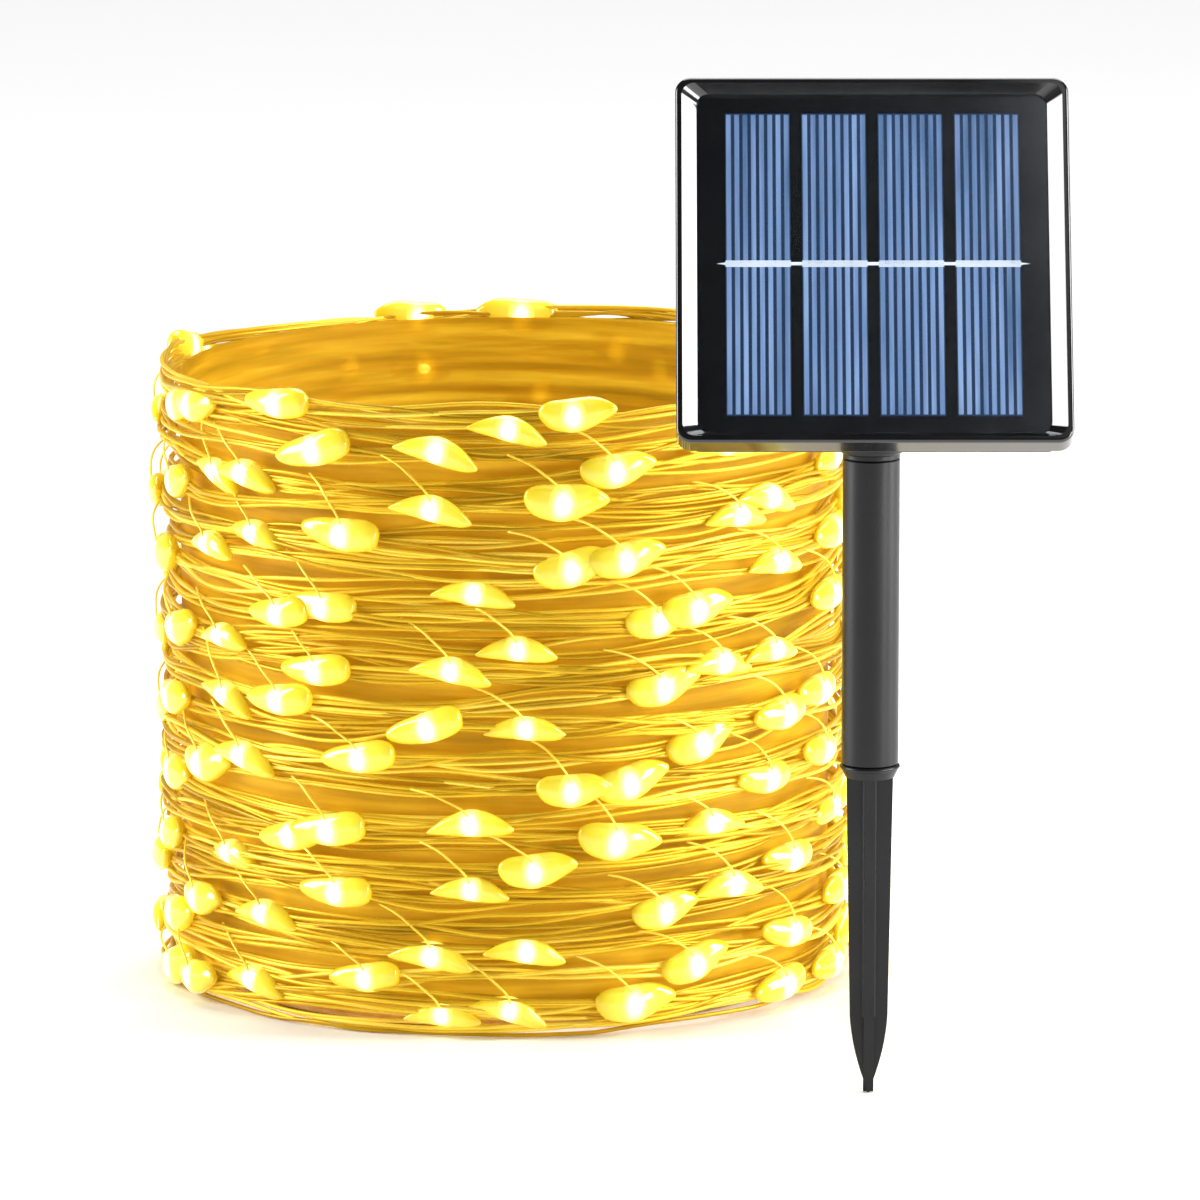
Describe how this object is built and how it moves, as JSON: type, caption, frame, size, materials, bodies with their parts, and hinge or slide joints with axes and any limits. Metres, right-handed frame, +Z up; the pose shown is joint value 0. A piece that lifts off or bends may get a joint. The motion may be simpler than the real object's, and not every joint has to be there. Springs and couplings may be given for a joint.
{
  "type": "solar string lights",
  "caption": "Solar string lights: square tilting solar head on a ground stake, with a coil of fine copper wire strung with warm LED drops.",
  "frame": {"origin": "tip of the ground spike, where the stake meets the ground", "axes": "+Z up along the stake, panel facing -Y, +X to the right seen from the front"},
  "size_m": [0.2409, 0.2839, 0.261],
  "materials": {
    "frame_gloss": "gloss",
    "housing_plastic": "satin",
    "stake_plastic": "satin",
    "cover_clear": "gloss",
    "cell_blue": "gloss",
    "ribbon_silver": "satin",
    "board_black": "gloss",
    "board_green": "gloss",
    "component_black": "matte",
    "seal_rubber": "matte",
    "button_rubber": "matte",
    "screw_steel": "satin",
    "cell_wrap": "gloss",
    "contact_nickel": "satin",
    "lead_clear": "gloss",
    "wire_red": "satin",
    "wire_copper": "polished",
    "drop_resin": "gloss",
    "sleeve_amber": "satin"
  },
  "bodies": {
    "stake": {"ground_spike": "stake_plastic", "stake_tube": "stake_plastic", "lead_lower": "lead_clear", "lead_turns": "lead_clear", "lead_splice": "seal_rubber", "light_coil": "wire_copper", "led_drops": "drop_resin", "coil_sleeve": "sleeve_amber"},
    "bracket": {"swivel_bracket": "stake_plastic"},
    "solar_head": {"front_frame": "frame_gloss", "panel_cover": "cover_clear", "busbar_ribbon": "ribbon_silver", "solar_cells": "cell_blue", "panel_board": "board_black", "rear_housing": "housing_plastic", "housing_seal": "seal_rubber", "housing_screws": "screw_steel", "battery_cell": "cell_wrap", "battery_contacts": "contact_nickel", "contact_spring": "contact_nickel", "battery_cover": "housing_plastic", "battery_cover_seal": "seal_rubber", "battery_cover_screws": "screw_steel", "main_board": "board_green", "tact_switches": "component_black", "board_components": "component_black", "panel_leads": "wire_red", "battery_leads": "wire_red", "tilt_screw": "screw_steel", "tilt_nut": "screw_steel", "tilt_washers": "screw_steel", "cable_gland": "seal_rubber", "lead_upper": "lead_clear"},
    "power_button": {"power_button": "button_rubber"},
    "mode_button": {"mode_button": "button_rubber"}
  },
  "joints": [
    {"name": "stake_swivel", "type": "hinge", "parent": "stake", "child": "bracket", "pos_m": [0, 0, 0.1658], "axis": [0, 0, 1], "range_deg": [-90, 90], "deforming": ["lead_lower"]},
    {"name": "panel_tilt", "type": "hinge", "parent": "bracket", "child": "solar_head", "pos_m": [0, 0, 0.1886], "axis": [1, 0, 0], "range_deg": [-58.3, 31.7], "deforming": ["lead_upper"]},
    {"name": "power_press", "type": "slide", "parent": "solar_head", "child": "power_button", "axis": [0, -0.8508, 0.5255], "range_m": [0, 0.0008], "stiffness_N_per_m": 1500},
    {"name": "mode_press", "type": "slide", "parent": "solar_head", "child": "mode_button", "axis": [0, -0.8508, 0.5255], "range_m": [0, 0.0008], "stiffness_N_per_m": 1500}
  ]
}
